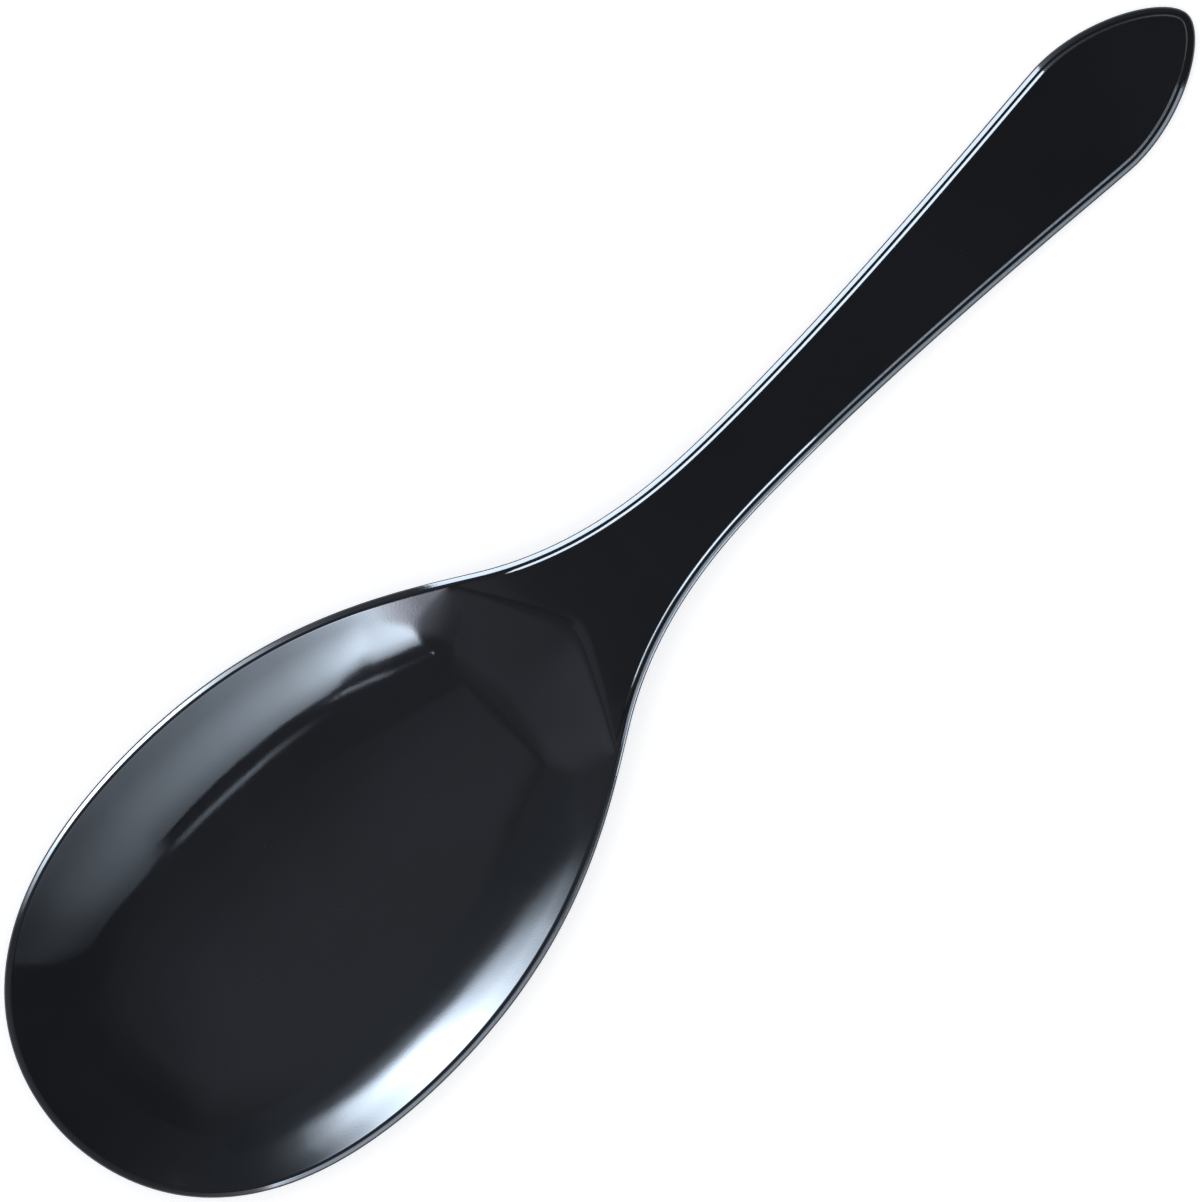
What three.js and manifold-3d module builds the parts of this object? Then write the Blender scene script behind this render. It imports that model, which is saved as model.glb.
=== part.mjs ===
import * as THREE from 'three';
import { mergeVertices } from 'three/addons/utils/BufferGeometryUtils.js';
import Module from 'manifold-3d';

// Serving spoon of black silicone over steel: an upper and a lower silicone skin meet along
// the outline, and a formed sheet-steel core is locked between them by plugs of the lower skin.
// Millimetres. +X runs from the bowl's tip to the handle's end, +Y across, +Z up.

// Outline seen from above, from the tip over the bowl, shoulder and neck to the handle's end
const length = 230;
const bowlWidth = 66.1;
const bowlWidestFromTip = 46;
const tipFullness = 7.1;
const noseCorner = 2.9;
const bowlRearReach = 27.2;
const shoulderFromTip = 100;
const shoulderWidth = 31.2;
const shoulderAngle = 31.5;
const shoulderReachToBowl = 13.3;
const shoulderReachToNeck = 17.4;
const neckFromTip = 142;
const neckWidth = 12.9;
const neckReachToBowl = 11.2;
const neckReachToHandle = 29.2;
const handleWidth = 20.4;
const handleWidestFromEnd = 20.5;
const handleWidestReach = 3.8;
const endCorner = 10.1;
const endFullness = 3.9;

// Side view: the rim, the crest of the neck and the end that lies on the table
const tipRimHeight = 12.4;
const rimLevelReach = 72;
const crestFromTip = 103;
const crestHeight = 16.15;
const crestReachToBowl = 14;
const crestReachToEnd = 47;
const endPadLength = 9;
const endPadReach = 30;

// Thicknesses of the stack and the clearance between pieces
const clearance = 0.3;
const coreThickness = 1;
const bowlSkin = 1.2;
const lipThickness = 2.4;
const handleThickness = 5;
const baseFlattening = 0.5;
const handleSectionStart = 94;
const handleSectionEnd = 118;

// Hollow of the bowl
const lipWidth = 1.12;
const lipRound = 0.15;
const wallAngle = 40;
const wallFillet = 6;
const floorLowestFromTip = 43;
const floorDishRadius = 245;
const rampTopFromTip = 104.2;
const rampSideAngle = 30;
const rampNoseWidth = 2;
const rampTopRound = 0.7;
const rampLength = 15.7;
const rampFillet = 1;
const rampWallFilletShare = 0.7;

// Edges: a bevel all round the face, a step inside it along the neck and handle, and a round underneath
const bevelAngle = 41;
const bevelInnerEdge = 0.74;
const bevelRoundWidth = 0.3;
const bevelRoundHeight = 0.15;
const stepAngle = 44.5;
const stepInnerEdge = 1.47;
const stepHeight = 0.4;
const stepStartFromTip = 96;
const stepFullFromTip = 106;
const slopeSoftness = 0.08;
const rimRoundWidth = 0.75;
const rimRoundHeight = 0.55;
const undersideRoundWidth = 2.6;
const undersideRoundHeight = 1.7;

// Core blank and its locking holes
const coreInset = 3.2;
const handleHoleDiameter = 3.6;
const handleHoleCount = 4;
const lastHandleHoleFromEnd = 18;
const handleHolePitch = 15;
const bowlHoleDiameter = 6;
const bowlHoleCount = 3;
const bowlHolePitch = 14;

// Facets along each stretch of the outline, across each rib and round each hole
const ribSteps = [13, 11, 10, 8, 8];
const innerRailShares = [0.18, 0.32, 0.42, 0.54, 0.75];
const roundShares = [0.134, 0.5, 1];
const holeSides = 16;

const { lerp, smoothstep, clamp, degToRad } = THREE.MathUtils;
const point = (x, y) => new THREE.Vector2(x, y);
const bend = (...points) => new THREE.CubicBezierCurve(...points);

// Half of the outline as five curves, each one tangent to the next
function outlineCurves() {
  const bowl = point(bowlWidestFromTip, bowlWidth / 2);
  const shoulder = point(shoulderFromTip, shoulderWidth / 2);
  const neck = point(neckFromTip, neckWidth / 2);
  const handle = point(length - handleWidestFromEnd, handleWidth / 2);
  const slope = point(1, 0).rotateAround(point(0, 0), -degToRad(shoulderAngle));
  const toBowl = shoulder.clone().addScaledVector(slope, -shoulderReachToBowl);
  const toNeck = shoulder.clone().addScaledVector(slope, shoulderReachToNeck);
  const alongNeck = point(neck.x + neckReachToHandle, neck.y);
  return [
    bend(point(0, 0), point(0, tipFullness), point(noseCorner, bowl.y), bowl),
    bend(bowl, point(bowl.x + bowlRearReach, bowl.y), toBowl, shoulder),
    bend(shoulder, toNeck, point(neck.x - neckReachToBowl, neck.y), neck),
    bend(neck, alongNeck, point(handle.x - handleWidestReach, handle.y), handle),
    bend(handle, point(length - endCorner, handle.y), point(length, endFullness), point(length, 0)),
  ];
}

// Where a rib from the outline meets the axis: straight across, fanned out by a square law at both ends
function footOnAxis(x) {
  const nose = clamp(1 - x / bowlWidestFromTip, 0, 1);
  const end = clamp(1 - (length - x) / handleWidestFromEnd, 0, 1);
  return x + nose ** 2 * bowlWidestFromTip / 2 - end ** 2 * handleWidestFromEnd / 2;
}

// Ribs from the outline to the axis, with the distance that each one covers square to the outline
function makeRibs() {
  const ribs = [];
  outlineCurves().forEach((curve, index) => {
    const first = index === 0 ? 0 : 1;
    for (let step = first; step <= ribSteps[index]; step += 1) {
      const share = step / ribSteps[index];
      const edge = curve.getPoint(share);
      const tangent = curve.getTangent(share);
      const foot = point(footOnAxis(edge.x), 0);
      const inward = point(tangent.y, -tangent.x);
      ribs.push({ edge, foot, reach: foot.clone().sub(edge).dot(inward) });
    }
  });
  return ribs;
}

const ribs = makeRibs();

// A place on a rib, a given distance in from the outline
function placeOn(rib, inset) {
  const spot = rib.edge.clone().lerp(rib.foot, Math.min(1, inset / rib.reach));
  return { x: spot.x, y: spot.y, inset };
}

// Height of a side-view curve above a place on the axis
function heightOf(curve, x) {
  let low = 0;
  let high = 1;
  for (let halving = 0; halving < 30; halving += 1) {
    const middle = (low + high) / 2;
    if (curve.getPoint(middle).x < x) {
      low = middle;
    } else {
      high = middle;
    }
  }
  return curve.getPoint(low).y;
}

const padFromTip = length - endPadLength;
const riseToCrest = bend(
  point(0, tipRimHeight),
  point(rimLevelReach, tipRimHeight),
  point(crestFromTip - crestReachToBowl, crestHeight),
  point(crestFromTip, crestHeight),
);
const fallToEnd = bend(
  point(crestFromTip, crestHeight),
  point(crestFromTip + crestReachToEnd, crestHeight),
  point(padFromTip - endPadReach, handleThickness),
  point(padFromTip, handleThickness),
);

// Height of the rim and of the handle's face along the spoon
function crown(x) {
  if (x >= padFromTip) {
    return handleThickness;
  }
  return x < crestFromTip ? heightOf(riseToCrest, x) : heightOf(fallToEnd, x);
}

const handleShare = (x) => smoothstep(x, handleSectionStart, handleSectionEnd);

// The lesser or greater of two heights, with a rounded corner where they cross
function softLesser(a, b, round) {
  const overlap = Math.max(round - Math.abs(a - b), 0);
  return Math.min(a, b) - overlap ** 2 / (4 * round);
}
const softGreater = (a, b, round) => -softLesser(-a, -b, round);

const bowlThickness = 2 * (bowlSkin + clearance) + coreThickness;
const floorHeight = bowlThickness - baseFlattening;

// Depth of the dished floor under the rim
function floorDepth(x, y) {
  const away = (x - floorLowestFromTip) ** 2 + y ** 2;
  return crown(x) - floorHeight - away / (2 * floorDishRadius);
}

const rampFoot = rampTopFromTip - rampLength;

// Depth of the ramp that leads down from a pointed arch on the neck to a straight line across the floor
function rampDepth(x, y) {
  const aside = Math.hypot(y, rampNoseWidth) - rampNoseWidth;
  const arch = rampTopFromTip - aside * Math.tan(degToRad(rampSideAngle));
  const top = Math.max(arch, rampFoot + rampLength / 4);
  return softGreater(floorDepth(rampFoot, y) * (top - x) / (top - rampFoot), 0, rampTopRound);
}

// Depth of the hollow: walls that slope in from the lip, the ramp from the neck and the dished floor.
// The fillet along the walls dwindles as the ramp rises beside them.
function hollow(place) {
  const wall = (place.inset - lipWidth) * Math.tan(degToRad(wallAngle));
  const ramp = rampDepth(place.x, place.y);
  const bottom = softLesser(floorDepth(place.x, place.y), ramp, rampFillet);
  const fillet = softLesser(ramp * rampWallFilletShare, wallFillet, wallFillet);
  return softGreater(softLesser(wall, bottom, Math.max(fillet, lipRound)), 0, lipRound);
}

// Half of the whole thickness: thin at the bowl's lip, fuller in its wall, thickest along the handle
function halfThickness(place) {
  const bowl = lerp(lipThickness, bowlThickness, smoothstep(place.inset, 0, coreInset)) / 2;
  return lerp(bowl, handleThickness / 2, handleShare(place.x));
}

const middleHeight = (place) => crown(place.x) - hollow(place) - halfThickness(place);

// How far a quarter round of a given width and height lies below its upper end
function quarterRound(inset, width, height) {
  const left = 1 - clamp(inset / width, 0, 1);
  return height * (1 - Math.sqrt(1 - left ** 2));
}

const bevelSlope = Math.tan(degToRad(bevelAngle));
const stepSlope = Math.tan(degToRad(stepAngle));
const stepOuterEdge = stepInnerEdge - stepHeight / stepSlope;

// Face of the spoon, with the bevel along its edge and the step along neck and handle
function topHeight(place) {
  const bevel = softGreater((bevelInnerEdge - place.inset) * bevelSlope, 0, slopeSoftness);
  const turn = quarterRound(place.inset, bevelRoundWidth, bevelRoundHeight);
  const rise = softGreater((stepInnerEdge - place.inset) * stepSlope, 0, slopeSoftness);
  const step = softLesser(rise, stepHeight, slopeSoftness);
  const stepShare = smoothstep(place.x, stepStartFromTip, stepFullFromTip);
  return crown(place.x) - hollow(place) - bevel - turn - step * stepShare;
}

// Underside, flattened where the bowl rests on the table
function bottomHeight(place) {
  const share = handleShare(place.x);
  const width = lerp(rimRoundWidth, undersideRoundWidth, share);
  const height = lerp(rimRoundHeight, undersideRoundHeight, share);
  const under = Math.max(0, middleHeight(place) - halfThickness(place));
  return under + quarterRound(place.inset, width, height);
}

// Heights of the faces between the pieces, above (+1) or below (-1) the middle of the stack
const seamHeight = (place, side) => middleHeight(place) + side * clearance / 2;
const coreHeight = (place, side) => middleHeight(place) + side * coreThickness / 2;
const pocketHeight = (place, side) => coreHeight(place, side) + side * clearance;

// Distances from the outline at which a face has its rails
const roundRails = (width) => roundShares.map((share) => share * width);
const cornerRails = (inset, slope) => [inset - slopeSoftness / slope, inset + slopeSoftness / slope];
const innerRails = (rib) => [...innerRailShares, 1].map((share) => lerp(coreInset, rib.reach, share));

const rail = (rib, inset, height, side) => {
  const place = placeOn(rib, inset);
  return new THREE.Vector3(place.x, place.y, height(place, side));
};

// Face of a skin that holds the core: the seam along the outline, then the pocket for the core
function pocketFace(rib, side) {
  const pocketInset = coreInset - clearance;
  return [
    rail(rib, 0, seamHeight, side),
    rail(rib, pocketInset, seamHeight, side),
    rail(rib, pocketInset, pocketHeight, side),
    ...innerRails(rib).map((inset) => rail(rib, inset, pocketHeight, side)),
  ];
}

// Section of the upper skin on one rib, from the axis out over the face and back along the pocket
function upperSection(rib) {
  const bevel = [0, ...roundRails(bevelRoundWidth), ...cornerRails(bevelInnerEdge, bevelSlope)];
  const step = [...cornerRails(stepOuterEdge, stepSlope), ...cornerRails(stepInnerEdge, stepSlope)];
  const insets = [...bevel, ...step, coreInset, ...innerRails(rib)];
  const face = insets.map((inset) => rail(rib, inset, topHeight));
  return [...face.reverse(), ...pocketFace(rib, 1)];
}

// Section of the lower skin on one rib, from the axis out along the pocket and back underneath
function lowerSection(rib) {
  const roundWidth = lerp(rimRoundWidth, undersideRoundWidth, handleShare(rib.edge.x));
  const edge = [0, ...roundRails(roundWidth), coreInset];
  const face = [...edge, ...innerRails(rib)].map((inset) => rail(rib, inset, bottomHeight));
  return [...pocketFace(rib, -1).reverse(), ...face];
}

// Section of the core on one rib: a sheet of even thickness
function coreSection(rib) {
  const rails = [coreInset, ...innerRails(rib)];
  const top = rails.map((inset) => rail(rib, inset, coreHeight, 1));
  const bottom = rails.map((inset) => rail(rib, inset, coreHeight, -1));
  return [...top.reverse(), ...bottom];
}

// Closed solid through the sections of all ribs, mirrored across the axis
function loft(section) {
  const rows = ribs.map(section);
  const corners = [];
  const addTriangle = (a, b, c) => {
    corners.push(a, b, c);
    corners.push(...[c, b, a].map((corner) => new THREE.Vector3(corner.x, -corner.y, corner.z)));
  };
  for (let row = 0; row + 1 < rows.length; row += 1) {
    for (let column = 0; column + 1 < rows[row].length; column += 1) {
      const [a, d] = rows[row].slice(column, column + 2);
      const [b, c] = rows[row + 1].slice(column, column + 2);
      addTriangle(a, b, c);
      addTriangle(a, c, d);
    }
  }
  return new THREE.BufferGeometry().setFromPoints(corners);
}

const wasm = await Module();
wasm.setup();

// Solid for joining and cutting, from a closed geometry
function toSolid(geometry) {
  const bare = geometry.clone();
  bare.deleteAttribute('normal');
  bare.deleteAttribute('uv');
  const merged = mergeVertices(bare);
  const vertProperties = new Float32Array(merged.attributes.position.array);
  const triVerts = new Uint32Array(merged.index.array);
  return new wasm.Manifold(new wasm.Mesh({ numProp: 3, vertProperties, triVerts }));
}

// Geometry with flat facets, from a solid
function toGeometry(solid) {
  const { vertProperties, triVerts } = solid.getMesh();
  const geometry = new THREE.BufferGeometry();
  geometry.setAttribute('position', new THREE.Float32BufferAttribute(vertProperties, 3));
  geometry.setIndex(Array.from(triVerts));
  const faceted = geometry.toNonIndexed();
  faceted.computeVertexNormals();
  return faceted;
}

// Upright round bar between two heights
function bar(x, radius, low, high) {
  const geometry = new THREE.CylinderGeometry(radius, radius, high - low, holeSides);
  geometry.rotateX(Math.PI / 2);
  geometry.translate(x, 0, (low + high) / 2);
  return toSolid(geometry);
}

// Locking holes on the axis: a row along the handle and a row in the bowl's floor
function lockingHoles() {
  const holes = [];
  for (let index = 0; index < handleHoleCount; index += 1) {
    const x = length - lastHandleHoleFromEnd - index * handleHolePitch;
    holes.push({ x, radius: handleHoleDiameter / 2 });
  }
  for (let index = 0; index < bowlHoleCount; index += 1) {
    const x = floorLowestFromTip + (index - (bowlHoleCount - 1) / 2) * bowlHolePitch;
    holes.push({ x, radius: bowlHoleDiameter / 2 });
  }
  return holes;
}

// Heights of a face over a hole, sampled on the axis where the face slopes most
function heightsOver(hole, height, side) {
  const spots = [hole.x - hole.radius, hole.x, hole.x + hole.radius];
  return spots.map((x) => height({ x, y: 0, inset: bowlWidth / 2 }, side));
}

let core = toSolid(loft(coreSection));
let lowerSkin = toSolid(loft(lowerSection));
const upperSkin = toSolid(loft(upperSection));

// Each hole goes through the core, and a plug of the lower skin stands in it up to the upper skin
for (const hole of lockingHoles()) {
  const coreTop = Math.max(...heightsOver(hole, coreHeight, 1)) + clearance / 2;
  const coreBottom = Math.min(...heightsOver(hole, coreHeight, -1)) - clearance / 2;
  const plugTop = Math.min(...heightsOver(hole, pocketHeight, 1)) - clearance;
  const plugFoot = Math.min(...heightsOver(hole, pocketHeight, -1)) - clearance / 2;
  core = core.subtract(bar(hole.x, hole.radius, coreBottom, coreTop));
  lowerSkin = lowerSkin.add(bar(hole.x, hole.radius - clearance, plugFoot, plugTop));
}

const blackSilicone = { color: 0x16171a, roughness: 0.16, metalness: 0 };
const rolledSteel = { color: 0xb4b7ba, roughness: 0.35, metalness: 1 };

// Named mesh of one piece
function piece(name, solid, finish) {
  const mesh = new THREE.Mesh(toGeometry(solid), new THREE.MeshStandardMaterial(finish));
  mesh.name = name;
  return mesh;
}

const spoon = new THREE.Group();
spoon.position.x = -length / 2;
spoon.add(piece('upper_skin', upperSkin, blackSilicone));
spoon.add(piece('steel_core', core, rolledSteel));
spoon.add(piece('lower_skin', lowerSkin, blackSilicone));

const group = new THREE.Group();
group.add(spoon);

export default group;
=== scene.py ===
import math

import bpy
import numpy as np
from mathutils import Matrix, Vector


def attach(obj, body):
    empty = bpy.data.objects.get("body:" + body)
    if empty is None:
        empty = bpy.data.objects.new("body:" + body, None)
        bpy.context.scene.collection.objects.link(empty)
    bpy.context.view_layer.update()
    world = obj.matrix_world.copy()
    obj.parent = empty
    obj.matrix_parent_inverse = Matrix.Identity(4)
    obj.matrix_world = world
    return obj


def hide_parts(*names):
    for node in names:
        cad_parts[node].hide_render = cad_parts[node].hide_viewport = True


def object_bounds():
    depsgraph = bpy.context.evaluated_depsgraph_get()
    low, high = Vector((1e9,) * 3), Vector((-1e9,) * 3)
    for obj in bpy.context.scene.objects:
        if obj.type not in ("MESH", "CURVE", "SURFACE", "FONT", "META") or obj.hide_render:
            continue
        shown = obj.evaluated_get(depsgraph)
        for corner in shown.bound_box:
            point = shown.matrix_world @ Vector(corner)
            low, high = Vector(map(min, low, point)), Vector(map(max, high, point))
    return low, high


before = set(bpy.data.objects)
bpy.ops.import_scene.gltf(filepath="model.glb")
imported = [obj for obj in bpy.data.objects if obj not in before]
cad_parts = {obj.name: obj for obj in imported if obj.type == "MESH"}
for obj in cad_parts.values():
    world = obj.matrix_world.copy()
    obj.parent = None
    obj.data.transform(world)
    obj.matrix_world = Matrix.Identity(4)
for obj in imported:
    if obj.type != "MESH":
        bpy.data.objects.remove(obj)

cad_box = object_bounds()

# Lower skin: a preform of black silicone that is laid in the mould first, under the core. It gives the
# spoon its underside, its flat base and the lower half of the edge. Its plugs through the core's holes are
# enclosed and left out here. The two skins are pressed and cured together along the outline.

spoon_length = cad_box[1].x - cad_box[0].x
tip_x = cad_box[0].x
bowl_width = 0.0661
bowl_widest_from_tip = 0.046
tip_fullness = 0.0071
nose_corner = 0.0029
bowl_rear_reach = 0.0272
shoulder_from_tip = 0.1
shoulder_width = 0.0312
shoulder_angle = math.radians(31.5)
shoulder_reach_to_bowl = 0.0133
shoulder_reach_to_neck = 0.0174
neck_from_tip = 0.142
neck_width = 0.0129
neck_reach_to_bowl = 0.0112
neck_reach_to_handle = 0.0292
handle_width = 0.0204
handle_widest_from_end = 0.0205
handle_widest_reach = 0.0038
end_corner = 0.0101
end_fullness = 0.0039
ribs_per_curve = (110, 100, 80, 80, 70)


def bend(start, leave, arrive, end, steps):
    """Points and unit tangents of a cubic curve: the four corners weighted by (1-t)^3, 3t(1-t)^2, 3t^2(1-t)
    and t^3."""
    corners = np.array([start, leave, arrive, end])
    t = np.linspace(0, 1, steps + 1)[:, None]
    weights = np.hstack([(1 - t) ** 3, 3 * t * (1 - t) ** 2, 3 * t**2 * (1 - t), t**3])
    slopes = np.hstack([(1 - t) ** 2, 2 * t * (1 - t), t**2])
    tangents = slopes @ np.diff(corners, axis=0)
    return weights @ corners, tangents / np.linalg.norm(tangents, axis=1)[:, None]


def half_outline():
    """Half of the outline from tip to end, as five cubic curves that run into each other; x counts from
    the tip."""
    bowl = np.array([bowl_widest_from_tip, bowl_width / 2])
    shoulder = np.array([shoulder_from_tip, shoulder_width / 2])
    neck = np.array([neck_from_tip, neck_width / 2])
    handle = np.array([spoon_length - handle_widest_from_end, handle_width / 2])
    slope = np.array([math.cos(shoulder_angle), -math.sin(shoulder_angle)])
    along = np.array([1, 0])
    corners = [
        ((0, 0), (0, tip_fullness), (nose_corner, bowl[1]), bowl),
        (bowl, bowl + bowl_rear_reach * along, shoulder - shoulder_reach_to_bowl * slope, shoulder),
        (shoulder, shoulder + shoulder_reach_to_neck * slope, neck - neck_reach_to_bowl * along, neck),
        (neck, neck + neck_reach_to_handle * along, handle - handle_widest_reach * along, handle),
        (handle, (spoon_length - end_corner, handle[1]), (spoon_length, end_fullness), (spoon_length, 0)),
    ]
    curves = [bend(*four, steps) for four, steps in zip(corners, ribs_per_curve)]
    points = np.vstack([curves[0][0][:1]] + [curve[0][1:] for curve in curves])
    tangents = np.vstack([curves[0][1][:1]] + [curve[1][1:] for curve in curves])
    return points, tangents


def foot_on_axis(x):
    """Where a rib from the outline meets the axis: straight across, and fanned out by a square law at both
    ends."""
    nose = np.clip(1 - x / bowl_widest_from_tip, 0, 1)
    end = np.clip(1 - (spoon_length - x) / handle_widest_from_end, 0, 1)
    return x + nose**2 * bowl_widest_from_tip / 2 - end**2 * handle_widest_from_end / 2


edge, edge_tangent = half_outline()
foot = foot_on_axis(edge[:, 0])
reach = (foot - edge[:, 0]) * edge_tangent[:, 1] + edge[:, 1] * edge_tangent[:, 0]


def places(insets):
    """Points on every rib, each a given distance in from the outline: the rib's two ends mixed by inset over
    reach."""
    share = np.minimum(insets / reach[:, None], 1)
    x = edge[:, :1] + (foot[:, None] - edge[:, :1]) * share
    return x, edge[:, 1:] * (1 - share), np.broadcast_to(insets, share.shape)


tip_rim_height = 0.0124
rim_level_reach = 0.072
crest_from_tip = 0.103
crest_height = cad_box[1].z
crest_reach_to_bowl = 0.014
crest_reach_to_end = 0.047
end_pad_length = 0.009
end_pad_reach = 0.03
handle_thickness = 0.005
pad_from_tip = spoon_length - end_pad_length
side_steps = 4000
rise_to_crest = bend(
    (0, tip_rim_height),
    (rim_level_reach, tip_rim_height),
    (crest_from_tip - crest_reach_to_bowl, crest_height),
    (crest_from_tip, crest_height),
    side_steps,
)[0]
fall_to_end = bend(
    (crest_from_tip, crest_height),
    (crest_from_tip + crest_reach_to_end, crest_height),
    (pad_from_tip - end_pad_reach, handle_thickness),
    (pad_from_tip, handle_thickness),
    side_steps,
)[0]
side_line = np.vstack([rise_to_crest, fall_to_end[1:]])


def crown(x):
    """Height of the rim and of the handle's face along the spoon: the side view's curve, level past its
    end."""
    return np.interp(x, side_line[:, 0], side_line[:, 1])


def smooth_step(value, low, high):
    """Eases from 0 to 1 between two limits by 3t^2 - 2t^3."""
    t = np.clip((value - low) / (high - low), 0, 1)
    return t * t * (3 - 2 * t)


def soft_lesser(a, b, rounding):
    """The lesser of two depths, less a parabola where they are within the rounding of each other."""
    overlap = np.maximum(rounding - np.abs(a - b), 0)
    return np.minimum(a, b) - overlap**2 / (4 * rounding)


def soft_greater(a, b, rounding):
    """The greater of two depths, with the same parabola added."""
    return -soft_lesser(-a, -b, rounding)


core_thickness = 0.001
core_clearance = 0.0003
core_inset = 0.0032
bowl_skin = 0.0012
lip_thickness = 0.0024
base_flattening = 0.0005
bowl_thickness = 2 * (bowl_skin + core_clearance) + core_thickness
floor_height = bowl_thickness - base_flattening
floor_lowest_from_tip = 0.043
floor_dish_radius = 0.245
lip_width = 0.00112
lip_round = 0.00015
wall_slope = math.tan(math.radians(40))
wall_fillet = 0.006
ramp_top_from_tip = 0.1042
ramp_side_slope = math.tan(math.radians(30))
ramp_nose_width = 0.002
ramp_top_round = 0.0007
ramp_length = 0.0157
ramp_foot = ramp_top_from_tip - ramp_length
ramp_fillet = 0.001
ramp_wall_fillet_share = 0.7
handle_section_start = 0.094
handle_section_end = 0.118


def handle_share(x):
    """How much of the handle's section a place has: 0 in the bowl, 1 along the handle."""
    return smooth_step(x, handle_section_start, handle_section_end)


def floor_depth(x, y):
    """Depth under the rim of a floor that is dished to a sphere about its lowest point."""
    return crown(x) - floor_height - ((x - floor_lowest_from_tip) ** 2 + y**2) / (2 * floor_dish_radius)


def ramp_depth(x, y):
    """Depth of a ramp ruled from a pointed arch on the neck down to a straight line across the floor."""
    arch = ramp_top_from_tip - (np.hypot(y, ramp_nose_width) - ramp_nose_width) * ramp_side_slope
    top = np.maximum(arch, ramp_foot + ramp_length / 4)
    return soft_greater(floor_depth(ramp_foot, y) * (top - x) / (top - ramp_foot), 0, ramp_top_round)


def hollow(x, y, inset):
    """Depth of the bowl: the softened least of straight walls from the lip, the ramp and the dished floor,
    with a fillet along the walls that dwindles as the ramp rises beside them."""
    wall = (inset - lip_width) * wall_slope
    ramp = ramp_depth(x, y)
    bottom = soft_lesser(floor_depth(x, y), ramp, ramp_fillet)
    fillet = soft_lesser(ramp * ramp_wall_fillet_share, wall_fillet, wall_fillet)
    return soft_greater(soft_lesser(wall, bottom, np.maximum(fillet, lip_round)), 0, lip_round)


def half_thickness(x, inset):
    """Half of the spoon's thickness: the lip's, eased to the bowl's wall, eased to the handle's."""
    bowl = lip_thickness + (bowl_thickness - lip_thickness) * smooth_step(inset, 0, core_inset)
    return (bowl + (handle_thickness - bowl) * handle_share(x)) / 2


def middle_height(x, y, inset):
    """Height of the middle of the stack of skin, core and skin."""
    return crown(x) - hollow(x, y, inset) - half_thickness(x, inset)


def quarter_round(inset, width, height):
    """How far a quarter of an ellipse lies below its upper end, counted in from its outer end."""
    left = 1 - np.clip(inset / width, 0, 1)
    return height * (1 - np.sqrt(1 - left**2))


rim_round_width = 0.00075
rim_round_height = 0.00055
underside_round_width = 0.0026
underside_round_height = 0.0017
round_steps = 12
inner_steps = 48
pocket_steps = 12
seam_gap = 0.00006


def underside(x, y, inset):
    """Height of the underside: the stack's lower face, cut level at the base and rounded up at the edge."""
    share = handle_share(x)
    width = rim_round_width + (underside_round_width - rim_round_width) * share
    height = rim_round_height + (underside_round_height - rim_round_height) * share
    under = np.maximum(middle_height(x, y, inset) - half_thickness(x, inset), 0)
    return under + quarter_round(inset, width, height)


def pocket_face(side):
    """Rails of the face toward the core, from the outline in: the narrow seam, then the pocket that clears
    the core."""
    pocket_inset = core_inset - core_clearance
    inward = np.linspace(0, 1, pocket_steps + 1)
    seam = np.tile([0, pocket_inset], (len(reach), 1))
    pocket = pocket_inset + (reach[:, None] - pocket_inset) * inward
    rise = [seam_gap / 2] * 2 + [core_thickness / 2 + core_clearance] * (pocket_steps + 1)
    x, y, inset = places(np.hstack([seam, pocket]))
    return x, y, middle_height(x, y, inset) + side * np.array(rise)


def edge_rails(width):
    """Distances in from the outline across a quarter round, spaced by equal angles of its arc."""
    return width * (1 - np.cos(np.linspace(0, math.pi / 2, round_steps + 1)))


def inner_rails(start):
    """Distances from the edge's last rail to the axis, closer together near the edge."""
    inward = np.linspace(0, 1, inner_steps + 1)[1:] ** 1.3
    return start + (reach[:, None] - start) * inward


def closed_skin(name, x, y, z):
    """One closed surface from a section on every rib: the sections run round the whole outline, mirrored in
    y, and the first and last rail of opposite ribs share their points on the axis."""
    last = len(x) - 1
    columns = [np.concatenate([grid, sign * grid[-2:0:-1]]) for grid, sign in ((x, 1), (y, -1), (z, 1))]
    points = np.stack(columns, axis=-1) + [tip_x, 0, 0]
    index = np.arange(points.shape[0] * points.shape[1]).reshape(points.shape[:2])
    for rail in (0, -1):
        index[last + 1 :, rail] = index[last - 1 : 0 : -1, rail]
    ahead = np.roll(index, -1, axis=0)
    faces = np.stack([index[:, :-1], ahead[:, :-1], ahead[:, 1:], index[:, 1:]], axis=-1).reshape(-1, 4)
    used, faces = np.unique(faces, return_inverse=True)
    mesh = bpy.data.meshes.new(name)
    mesh.from_pydata(points.reshape(-1, 3)[used], [], faces.reshape(-1, 4))
    mesh.shade_smooth()
    mesh.set_sharp_from_angle(angle=math.radians(40))
    skin = bpy.data.objects.new(name, mesh)
    bpy.context.scene.collection.objects.link(skin)
    return skin


silicone_black = (0.0045, 0.0048, 0.006, 1)
silicone_bluish = (0.0065, 0.0072, 0.0092, 1)
silicone_dust = (0.05, 0.052, 0.056, 1)
speck_scale = 240
speck_rim = (0.02, 0.01)
cloud_scale = 28
cloud_limits = (0.35, 0.65)
gloss_scale = 160
gloss_limits = (0.3, 0.7)
gloss_roughness = (0.05, 0.1)
ripple_scale = 90
ripple_strength = 0.06
ripple_height = 0.0006
grain_scale = 3800
grain_strength = 0.035
grain_height = 0.0001


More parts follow.
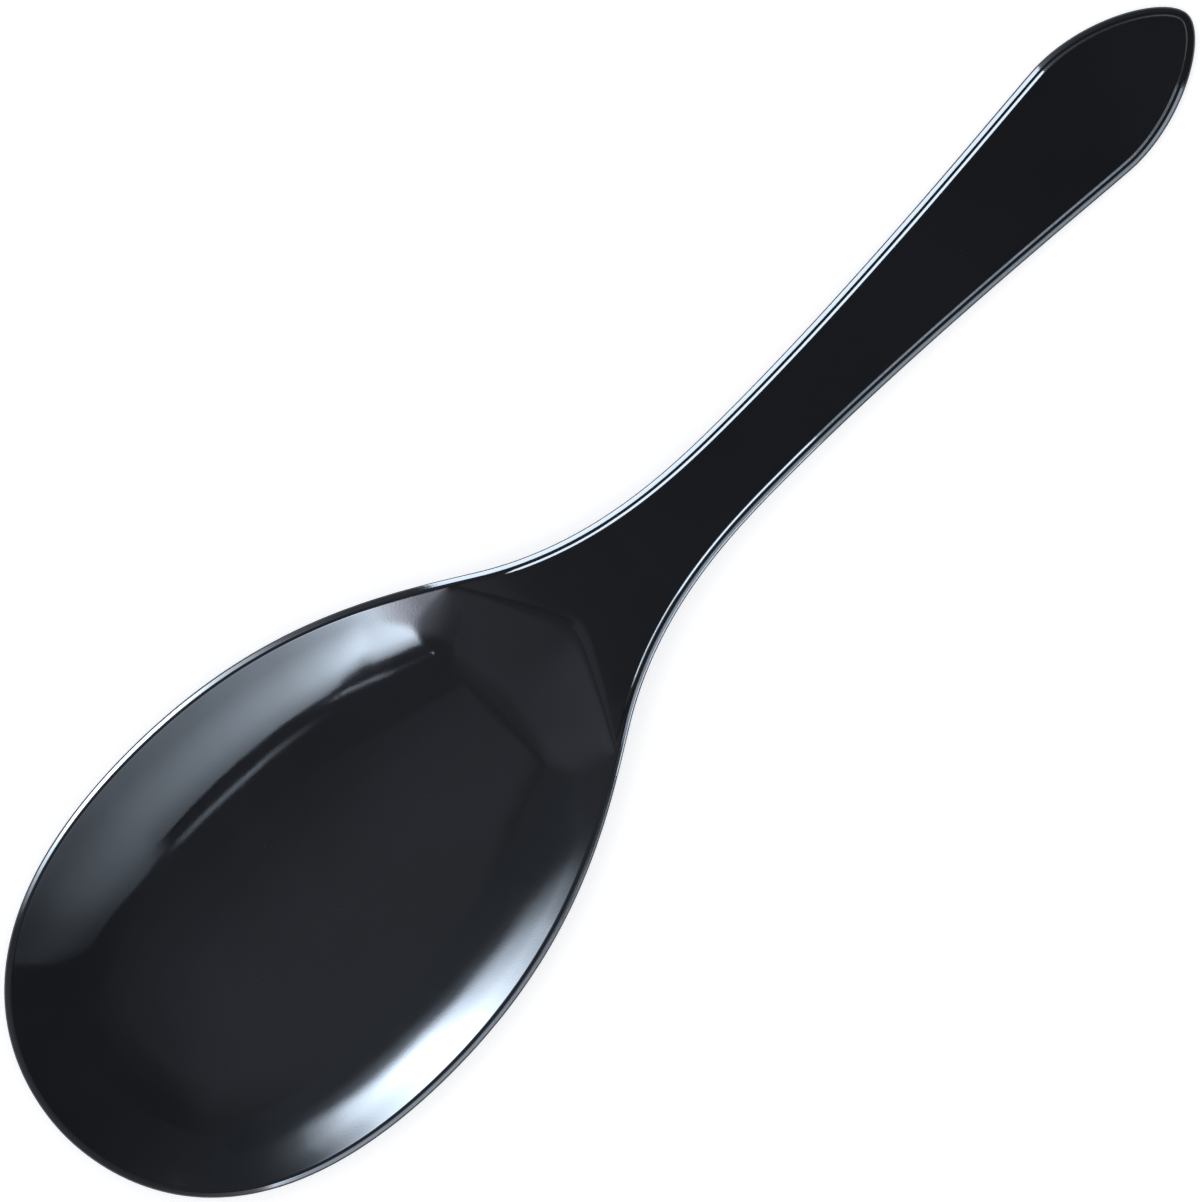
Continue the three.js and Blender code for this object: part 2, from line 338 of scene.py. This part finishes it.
def gloss_silicone():
    """Black silicone from a polished mould: deep gloss that clouds a little, a faint ripple and grain, and
    stray dust."""
    material = bpy.data.materials.new("gloss_black_silicone")
    material.use_nodes = True
    nodes, link = material.node_tree.nodes, material.node_tree.links.new
    shader = nodes["Principled BSDF"]
    shader.inputs["IOR"].default_value = 1.48
    place = nodes.new("ShaderNodeTexCoord").outputs["Object"]

    def noise(scale, detail):
        texture = nodes.new("ShaderNodeTexNoise")
        texture.inputs["Scale"].default_value = scale
        texture.inputs["Detail"].default_value = detail
        link(place, texture.inputs["Vector"])
        return texture.outputs["Fac"]

    def spread(value, low, high, to_low, to_high):
        range_node = nodes.new("ShaderNodeMapRange")
        for socket, number in zip(range_node.inputs[1:5], (low, high, to_low, to_high)):
            socket.default_value = number
        link(value, range_node.inputs["Value"])
        return range_node.outputs["Result"]

    def mix(factor, a, b):
        mixer = nodes.new("ShaderNodeMix")
        mixer.data_type = "RGBA"
        link(factor, mixer.inputs["Factor"])
        mixer.inputs[6].default_value = a if isinstance(a, tuple) else (0, 0, 0, 1)
        if not isinstance(a, tuple):
            link(a, mixer.inputs[6])
        mixer.inputs[7].default_value = b
        return mixer.outputs[2]

    def bump(height, strength, distance, before=None):
        relief = nodes.new("ShaderNodeBump")
        relief.inputs["Strength"].default_value = strength
        relief.inputs["Distance"].default_value = distance
        link(height, relief.inputs["Height"])
        if before:
            link(before, relief.inputs["Normal"])
        return relief.outputs["Normal"]

    specks = nodes.new("ShaderNodeTexVoronoi")
    specks.inputs["Scale"].default_value = speck_scale
    link(place, specks.inputs["Vector"])
    dust = spread(specks.outputs["Distance"], *speck_rim, 0, 1)
    cloud = spread(noise(cloud_scale, 3), *cloud_limits, 0, 1)
    colour = mix(dust, mix(cloud, silicone_black, silicone_bluish), silicone_dust)
    link(colour, shader.inputs["Base Color"])
    link(spread(noise(gloss_scale, 5), *gloss_limits, *gloss_roughness), shader.inputs["Roughness"])
    ripple = bump(noise(ripple_scale, 2), ripple_strength, ripple_height)
    link(bump(noise(grain_scale, 2), grain_strength, grain_height, ripple), shader.inputs["Normal"])
    return material


silicone = gloss_silicone()

pocket_x, pocket_y, pocket_z = (grid[:, ::-1] for grid in pocket_face(-1))
round_width = rim_round_width + (underside_round_width - rim_round_width) * handle_share(edge[:, :1])
under_edge = round_width * edge_rails(1)
under_x, under_y, under_inset = places(np.hstack([under_edge, inner_rails(round_width)]))
lower_skin = closed_skin(
    "lower_skin_silicone",
    np.hstack([pocket_x, under_x]),
    np.hstack([pocket_y, under_y]),
    np.hstack([pocket_z, underside(under_x, under_y, under_inset)]),
)
lower_skin.data.materials.append(silicone)
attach(lower_skin, "root")
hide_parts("lower_skin")

# Steel core: a blank of stainless sheet one millimetre thick, punched with a row of holes and pressed to
# the bowl's form. It lies on the lower skin's plugs, sealed in by the upper skin, and keeps the spoon stiff.

steel_light = (0.66, 0.67, 0.68, 1)
steel_dark = (0.5, 0.51, 0.53, 1)


def rolled_steel():
    """Rolled stainless sheet: fine lines along the rolling direction in colour, roughness and relief."""
    material = bpy.data.materials.new("rolled_stainless_steel")
    material.use_nodes = True
    nodes, link = material.node_tree.nodes, material.node_tree.links.new
    shader = nodes["Principled BSDF"]
    shader.inputs["Metallic"].default_value = 1
    stretch = nodes.new("ShaderNodeMapping")
    stretch.inputs["Scale"].default_value = (40, 2600, 2600)
    link(nodes.new("ShaderNodeTexCoord").outputs["Object"], stretch.inputs["Vector"])
    lines = nodes.new("ShaderNodeTexNoise")
    lines.inputs["Scale"].default_value = 1
    lines.inputs["Detail"].default_value = 4
    link(stretch.outputs["Vector"], lines.inputs["Vector"])
    tone = nodes.new("ShaderNodeValToRGB")
    tone.color_ramp.elements[0].color = steel_dark
    tone.color_ramp.elements[1].color = steel_light
    link(lines.outputs["Fac"], tone.inputs["Fac"])
    link(tone.outputs["Color"], shader.inputs["Base Color"])
    shine = nodes.new("ShaderNodeMapRange")
    shine.inputs["To Min"].default_value = 0.24
    shine.inputs["To Max"].default_value = 0.42
    link(lines.outputs["Fac"], shine.inputs["Value"])
    link(shine.outputs["Result"], shader.inputs["Roughness"])
    relief = nodes.new("ShaderNodeBump")
    relief.inputs["Strength"].default_value = 0.15
    relief.inputs["Distance"].default_value = 0.0001
    link(lines.outputs["Fac"], relief.inputs["Height"])
    link(relief.outputs["Normal"], shader.inputs["Normal"])
    return material


steel_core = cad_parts["steel_core"]
steel_core.data.materials.clear()
steel_core.data.materials.append(rolled_steel())

# Upper skin: the second preform of black silicone, pressed over the core and cured to the lower skin. It
# carries all that shows from above: the bowl's inside and lip, and the flat face with its stepped edge.

bevel_slope = math.tan(math.radians(41))
bevel_inner_edge = 0.00074
bevel_round_width = 0.0003
bevel_round_height = 0.00015
step_slope = math.tan(math.radians(44.5))
step_inner_edge = 0.00147
step_height = 0.0004
step_start_from_tip = 0.096
step_full_from_tip = 0.106
bevel_softness = 0.00008


def bevel(inset):
    """Drop of the outer bevel: a slope that ends softly on the ledge and turns down at the outline in a
    quarter round."""
    slope = soft_greater((bevel_inner_edge - inset) * bevel_slope, 0, bevel_softness)
    return slope + quarter_round(inset, bevel_round_width, bevel_round_height)


def step(inset):
    """Drop of the handle's step: a slope softened into the face above and into the ledge below."""
    slope = soft_greater((step_inner_edge - inset) * step_slope, 0, bevel_softness)
    return soft_lesser(slope, step_height, bevel_softness)


def face(x, y, inset):
    """Height of the face: the rim's line less the hollow, the bevel at the edge and the handle's step."""
    step_share = smooth_step(x, step_start_from_tip, step_full_from_tip)
    return crown(x) - hollow(x, y, inset) - bevel(inset) - step(inset) * step_share


bevel_rails = edge_rails(bevel_round_width)
step_rails = np.linspace(bevel_round_width, step_inner_edge + bevel_softness, 34)[1:]
outer_rails = np.tile(np.concatenate([bevel_rails, step_rails]), (len(reach), 1))
face_x, face_y, face_inset = places(np.hstack([outer_rails, inner_rails(step_rails[-1])]))
pocket_x, pocket_y, pocket_z = pocket_face(1)
upper_skin = closed_skin(
    "upper_skin_silicone",
    np.hstack([face_x[:, ::-1], pocket_x]),
    np.hstack([face_y[:, ::-1], pocket_y]),
    np.hstack([face(face_x, face_y, face_inset)[:, ::-1], pocket_z]),
)
upper_skin.data.materials.append(silicone)
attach(upper_skin, "root")
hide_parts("upper_skin")

# Floor: a plain white table that runs out of sight and takes the spoon's soft shadow. Its own white is
# topped up for the camera and for reflections, so the ground reads as paper white. It is clear from below.

floor_size = 16
floor_white = (0.8, 0.8, 0.8, 1)
floor_top_up = 0.55

corners = floor_size / 2 * np.array([[-1, -1, 0], [1, -1, 0], [1, 1, 0], [-1, 1, 0]])
floor_mesh = bpy.data.meshes.new("floor")
floor_mesh.from_pydata(corners, [], [(0, 1, 2, 3)])
floor = bpy.data.objects.new("floor", floor_mesh)
bpy.context.scene.collection.objects.link(floor)
white = bpy.data.materials.new("white_table")
white.use_nodes = True
shader = white.node_tree.nodes["Principled BSDF"]
shader.inputs["Base Color"].default_value = floor_white
shader.inputs["Roughness"].default_value = 0.9
shader.inputs["Specular IOR Level"].default_value = 0
shader.inputs["Emission Color"].default_value = (1, 1, 1, 1)


def seen_directly(tree):
    """1 for rays from the camera, from a mirror-like surface or through a clear one, and 0 for the light that
    falls on things."""
    ray = tree.nodes.new("ShaderNodeLightPath")
    total = ray.outputs["Is Camera Ray"]
    for kind in ("Is Glossy Ray", "Is Transmission Ray"):
        either = tree.nodes.new("ShaderNodeMath")
        either.operation = "MAXIMUM"
        tree.links.new(total, either.inputs[0])
        tree.links.new(ray.outputs[kind], either.inputs[1])
        total = either.outputs["Value"]
    return total


top_up = white.node_tree.nodes.new("ShaderNodeMath")
top_up.operation = "MULTIPLY"
top_up.inputs[1].default_value = floor_top_up
white.node_tree.links.new(seen_directly(white.node_tree), top_up.inputs[0])
white.node_tree.links.new(top_up.outputs["Value"], shader.inputs["Emission Strength"])
one_sided = white.node_tree.nodes.new("ShaderNodeMixShader")
below = white.node_tree.nodes.new("ShaderNodeNewGeometry").outputs["Backfacing"]
clear = white.node_tree.nodes.new("ShaderNodeBsdfTransparent").outputs["BSDF"]
white.node_tree.links.new(below, one_sided.inputs["Fac"])
white.node_tree.links.new(shader.outputs["BSDF"], one_sided.inputs[1])
white.node_tree.links.new(clear, one_sided.inputs[2])
surface = white.node_tree.nodes["Material Output"].inputs["Surface"]
white.node_tree.links.new(one_sided.outputs["Shader"], surface)
floor_mesh.materials.append(white)

# Studio light: softboxes on the far side, the near side and beyond the tip, a strip and a small lamp by the
# near one, a grey card over the bowl and two narrow cards along the handle. They are panels that show only
# as reflections. The even light comes from a lamp overhead, and the room is dim.

softbox_distance = 1
bowl_centre = np.array([tip_x + 0.05, 0, 0.01])
panel_columns = 200
panel_rows = 100
cool_white = (0.85, 1, 1.18, 1)
grey_white = (0.92, 0.98, 1.16, 1)


def glowing(name, points, glow, colour):
    """A grid of points as a panel that glows by the brightness given for each point; the camera looks
    through it."""
    index = np.arange(glow.size).reshape(glow.shape)
    faces = np.stack([index[:-1, :-1], index[:-1, 1:], index[1:, 1:], index[1:, :-1]], axis=-1).reshape(-1, 4)
    mesh = bpy.data.meshes.new(name)
    mesh.from_pydata(points.reshape(-1, 3), [], faces)
    mesh.attributes.new("glow", "FLOAT", "POINT").data.foreach_set("value", glow.ravel())
    material = bpy.data.materials.new(name)
    material.use_nodes = True
    tree = material.node_tree
    tree.nodes.clear()
    emission = tree.nodes.new("ShaderNodeEmission")
    emission.inputs["Color"].default_value = colour
    brightness = tree.nodes.new("ShaderNodeAttribute")
    brightness.attribute_name = "glow"
    tree.links.new(brightness.outputs["Fac"], emission.inputs["Strength"])
    tree.links.new(emission.outputs["Emission"], tree.nodes.new("ShaderNodeOutputMaterial").inputs["Surface"])
    mesh.materials.append(material)
    panel = bpy.data.objects.new(name, mesh)
    panel.visible_camera = False
    panel.visible_diffuse = False
    panel.visible_shadow = False
    bpy.context.scene.collection.objects.link(panel)


def flat(height):
    """An edge of a panel that keeps one elevation, in degrees, at every azimuth."""
    return lambda azimuth: np.full_like(azimuth, height)


def curved_panel(azimuths, lower, upper):
    """Azimuth, elevation and points of a panel on a sphere round the bowl; both angles in degrees, the lower
    and the upper edge given for each azimuth."""
    azimuth = np.linspace(*azimuths, panel_columns)[:, None] + np.zeros(panel_rows)
    share = np.linspace(0, 1, panel_rows)
    elevation = lower(azimuth) * (1 - share) + upper(azimuth) * share
    a, e = np.radians(azimuth), np.radians(elevation)
    outward = np.stack([np.cos(e) * np.cos(a), np.cos(e) * np.sin(a), np.sin(e)], axis=-1)
    return azimuth, elevation, bowl_centre + softbox_distance * outward


def log_blend(azimuth, azimuths, glows):
    """Brightness between listed ones: the logarithms are mixed in a straight line and raised again."""
    return np.exp(np.interp(azimuth, azimuths, np.log(glows)))


table_line = 0.3

far_span = (46, 121.3)
far_height = 58
far_azimuths = (46, 62, 72.5, 74, 82, 90, 94, 106, 112, 118)
far_glows = (0.02, 0.1, 1.5, 3.5, 15.5, 29, 29, 7.2, 1.5, 0.02)
far_lean = 0.5
far_lean_heights = (9, 17)
far_middle = 87.5
far_middle_top = 23.1
far_top_fall = 0.25
far_top_limits = (17.3, 26.5)
far_edge_in = 3.5
far_edge_out = 4
far_halo = 0.11
far_halo_reach = 11
far_foot = 0.8
far_foot_heights = (7, 9.5)
far_base = 0.34
far_base_rise = 0.1
far_base_rise_span = (56, 78)
far_base_fall = 0.08
far_base_fall_span = (106, 120)
far_shade = 0.08
far_shade_heights = (38, 48)
far_shade_span = (56, 68)

azimuth, elevation, points = curved_panel(far_span, flat(table_line), flat(far_height))
lean = far_lean * np.clip(far_lean_heights[1] - elevation, 0, far_lean_heights[1] - far_lean_heights[0])
top = np.clip(far_middle_top - far_top_fall * (azimuth - far_middle), *far_top_limits)
edge_share = 1 - smooth_step(elevation, top - far_edge_in, top + far_edge_out)
halo = far_halo * (1 - smooth_step(elevation, top, top + far_halo_reach))
foot_gain = 1 + far_foot * (1 - smooth_step(elevation, *far_foot_heights))
hot = log_blend(azimuth - lean, far_azimuths, far_glows) * (edge_share * foot_gain + halo)
base = far_base + far_base_rise * smooth_step(azimuth, *far_base_rise_span)
base = base - far_base_fall * smooth_step(azimuth, *far_base_fall_span)
shade = far_shade * (1 - smooth_step(elevation, *far_shade_heights))
shade = shade * (1 - smooth_step(azimuth, *far_shade_span))
glowing("far_softbox", points, base - shade + hot, cool_white)

near_span = (-121.3, -55)
near_azimuths = (-121.3, -116.5, -110.5, -92.5, -74.5, -66, -55)
near_glows = (23, 12.3, 7.1, 3.1, 1.4, 0.72, 0.45)
near_top_azimuths = (
    -121.3, -120.4, -119.4, -118, -116.5, -110.5, -104.5, -98.5, -92.5,
    -88.6, -87.4, -83.5, -80.5, -74.5, -68.5, -62.5, -58, -55,
)
near_tops = (28.3, 28.8, 31, 34.5, 36, 38.8, 41.3, 43.6, 45.9, 46.8, 54.2, 56, 56, 53, 51, 49, 40, 28)
near_foot_share = 0.5
near_foot_limits = (0.08, 0.55)
near_drop = 0.47
near_end_drop = 0.18
near_end_span = (-119, -108)
near_drop_limits = (0.62, 1.02)
near_table_glow = 6
near_table_heights = (7.5, 9.5)
near_frame_span = (-121.3, -90)
near_frame_width = 2.5
near_frame_glow = 0.1


def near_top(azimuth):
    """Upper edge of the near softbox, as straight lines between listed elevations."""
    return np.interp(azimuth, near_top_azimuths, near_tops)


azimuth, elevation, points = curved_panel(near_span, flat(table_line), near_top)
share = elevation / near_top(azimuth)
drop = near_drop + near_end_drop * (1 - smooth_step(azimuth, *near_end_span))
glow = log_blend(azimuth, near_azimuths, near_glows)
glow = glow * (near_foot_share + (1 - near_foot_share) * smooth_step(share, *near_foot_limits))
glow = glow * (1 - drop * smooth_step(share, *near_drop_limits))
table_glow = near_table_glow * (1 - smooth_step(elevation, *near_table_heights))
glowing("near_softbox", points, np.maximum(glow, table_glow), cool_white)
azimuth, elevation, points = curved_panel(near_frame_span, near_top, lambda a: near_top(a) + near_frame_width)
glowing("near_frame", points, np.full_like(azimuth, near_frame_glow), grey_white)

strip_span = (-122, -89.5)
strip_azimuths = (-122, -116.5, -110.5, -107.5, -104.5, -98.5, -92.5, -89.5)
strip_heights = (46.6, 48.4, 51.8, 53.7, 55.1, 56.5, 57.3, 57.5)
strip_glows = (0.2, 0.35, 1.8, 2.7, 2.9, 2.5, 1.7, 0.5)
strip_core = 0.6
strip_half_width = 3.2
strip_surround = 0.22


def strip_height(azimuth):
    """Elevation of the middle of the strip lamp over the near softbox."""
    return np.interp(azimuth, strip_azimuths, strip_heights)


azimuth, elevation, points = curved_panel(
    strip_span,
    lambda a: strip_height(a) - strip_half_width,
    lambda a: strip_height(a) + strip_half_width,
)
share = 1 - smooth_step(np.abs(elevation - strip_height(azimuth)), strip_core, strip_half_width)
glow = np.interp(azimuth, strip_azimuths, strip_glows)
glowing("near_strip", points, strip_surround + (glow - strip_surround) * share, cool_white)

lamp_place = np.array([-0.1016, -0.0821, 0.0992])
lamp_along = np.array([0.0008, -0.0005, 0])
lamp_across = np.array([0.0008, 0.0013, 0.0019])
lamp_glow = 13

sides = np.array([-1, 1])
lamp_points = lamp_place + sides[:, None, None] * lamp_along + sides[None, :, None] * lamp_across
glowing("small_lamp", lamp_points, np.full((2, 2), lamp_glow), cool_white)

tip_span = (121.3, 238.7)
tip_height = 60
tip_azimuths = (121.3, 126, 138, 150, 190, 206, 220, 228, 234, 236.5, 238.7)
tip_glows = (0.36, 0.37, 0.59, 0.62, 0.45, 0.42, 0.64, 1.05, 1.7, 3.2, 12)
tip_beyonds = (0.36, 0.37, 0.39, 0.38, 0.34, 0.31, 0.24, 0.24, 0.24, 0.24, 0.24)
tip_turn_span = (206, 212)
tip_fade_low = 27
tip_fade_high = 48
tip_turn_low = 17
tip_turn_high = 21

azimuth, elevation, points = curved_panel(tip_span, flat(table_line), flat(tip_height))
glow = np.interp(azimuth, tip_azimuths, tip_glows)
beyond = np.interp(azimuth, tip_azimuths, tip_beyonds)
turn = smooth_step(azimuth, *tip_turn_span)
fade = smooth_step(elevation, tip_fade_low - tip_turn_low * turn, tip_fade_high - tip_turn_high * turn)
glowing("tip_softbox", points, glow + (beyond - glow) * fade, grey_white)

card_height = 0.4
card_x_span = (-0.34, 0.3)
card_y_span = (-0.13, 0.34)
card_columns = 100
card_rows = 80
card_dark = 0.23
card_dark_fall = 0.06
card_dark_fall_span = (-0.08, 0.1)
card_end_fall = 0.04
card_end_fall_span = (0.08, 0.16)
card_tip_rise = 0.05
card_tip_rise_span = (-0.24, -0.16)
card_light = 0.46
card_light_fall = 0.22
card_light_fall_span = (-0.12, 0.22)
card_tip_fall = 0.16
card_tip_fall_span = (-0.28, -0.2)
card_bend_x = -0.05
card_border_slope = 0.85
card_border_start = -0.013
card_spread = 0.02
card_spread_slope = 0.3
card_tip_x = -0.15
card_tip_spread_slope = 0.2

card_x, card_y = np.meshgrid(
    np.linspace(*card_x_span, card_columns), np.linspace(*card_y_span, card_rows), indexing="ij"
)
past_bend = np.maximum(card_x - card_bend_x, 0)
past_tip = np.maximum(card_tip_x - card_x, 0)
dark = card_dark - card_dark_fall * smooth_step(card_x, *card_dark_fall_span)
dark = dark - card_end_fall * smooth_step(card_x, *card_end_fall_span)
dark = dark + card_tip_rise * (1 - smooth_step(card_x, *card_tip_rise_span))
light = card_light - card_light_fall * smooth_step(card_x, *card_light_fall_span)
light = light - card_tip_fall * (1 - smooth_step(card_x, *card_tip_fall_span))
border = card_border_slope * past_bend + card_border_start
spread = card_spread + card_spread_slope * past_bend + card_tip_spread_slope * past_tip
share = smooth_step(card_y, border - spread, border + spread)
card_points = np.stack([card_x, card_y, np.full_like(card_x, card_height)], axis=-1)
glowing("bowl_card", card_points, dark + (light - dark) * share, grey_white)

edge_card_distance = 0.085
edge_card_glow = 20
edge_cards = ((1, (0.012, 0.1), (0.002, 0.04)), (-1, (0.012, 0.042), (0.008, 0.019)))

for side, lengths, heights in edge_cards:
    card_x, card_z = np.meshgrid(lengths, heights, indexing="ij")
    card_points = np.stack([card_x, np.full_like(card_x, side * edge_card_distance), card_z], axis=-1)
    glowing("edge_card", card_points, np.full_like(card_x, edge_card_glow), cool_white)

fill = bpy.data.lights.new("overhead_fill", "AREA")
fill.shape = "DISK"
fill.size = 2.4
fill.energy = 27
fill_lamp = bpy.data.objects.new("overhead_fill", fill)
fill_lamp.location = (0, 0, 1.8)
fill_lamp.visible_glossy = False
fill_lamp.visible_camera = False
bpy.context.scene.collection.objects.link(fill_lamp)

room_toward_end = 0.14
room_toward_tip = 0.23
room_aside = 0.12

room = bpy.data.worlds.new("studio_room")
room.use_nodes = True
bpy.context.scene.world = room
tree = room.node_tree
background = tree.nodes["Background"]
direction = tree.nodes.new("ShaderNodeSeparateXYZ")
tree.links.new(tree.nodes.new("ShaderNodeTexCoord").outputs["Generated"], direction.inputs["Vector"])


def eased(value, low, high, to_low, to_high):
    """Eases from one number to another while a value goes from its low to its high limit; limits may be
    sockets."""
    range_node = tree.nodes.new("ShaderNodeMapRange")
    range_node.interpolation_type = "SMOOTHSTEP"
    for socket, number in zip(range_node.inputs[:5], (value, low, high, to_low, to_high)):
        if isinstance(number, bpy.types.NodeSocket):
            tree.links.new(number, socket)
        else:
            socket.default_value = number
    return range_node.outputs["Result"]


dim = tree.nodes.new("ShaderNodeMath")
toward_end, aside = direction.outputs["X"], direction.outputs["Y"]
tree.links.new(eased(toward_end, 0.35, 0, room_toward_end, room_toward_tip), dim.inputs[0])
aside_low = eased(toward_end, 0, 0.8, -0.3, 0.01)
aside_high = eased(toward_end, 0, 0.8, 0.05, 0.74)
tree.links.new(eased(aside, aside_low, aside_high, 0, room_aside), dim.inputs[1])
camera_ray = tree.nodes.new("ShaderNodeLightPath")
either = tree.nodes.new("ShaderNodeMix")
tree.links.new(camera_ray.outputs["Is Camera Ray"], either.inputs["Factor"])
tree.links.new(dim.outputs["Value"], either.inputs["A"])
either.inputs["B"].default_value = 1
tree.links.new(either.outputs["Result"], background.inputs["Strength"])
background.inputs["Color"].default_value = grey_white

# Camera: straight above the spoon on a long lens, turned so that the handle points to the upper right.

photo_width = 1200
photo_height = 1202
photo_scale = 0.00014468
photo_offset = 0.0001
camera_distance = 4
rim_level = 0.013
frame_shift = 0.00547
centre_from_tip = spoon_length / 2 - frame_shift
camera_data = bpy.data.cameras.new("camera")
camera_data.sensor_width = 36
camera_data.lens = camera_data.sensor_width * camera_distance / (max(photo_width, photo_height) * photo_scale)
camera = bpy.data.objects.new("camera", camera_data)
camera.location = (tip_x + centre_from_tip, photo_offset, rim_level + camera_distance)
camera.rotation_euler = (0, 0, math.radians(-45))
bpy.context.scene.collection.objects.link(camera)
bpy.context.scene.camera = camera
bpy.context.scene.view_settings.view_transform = "Standard"
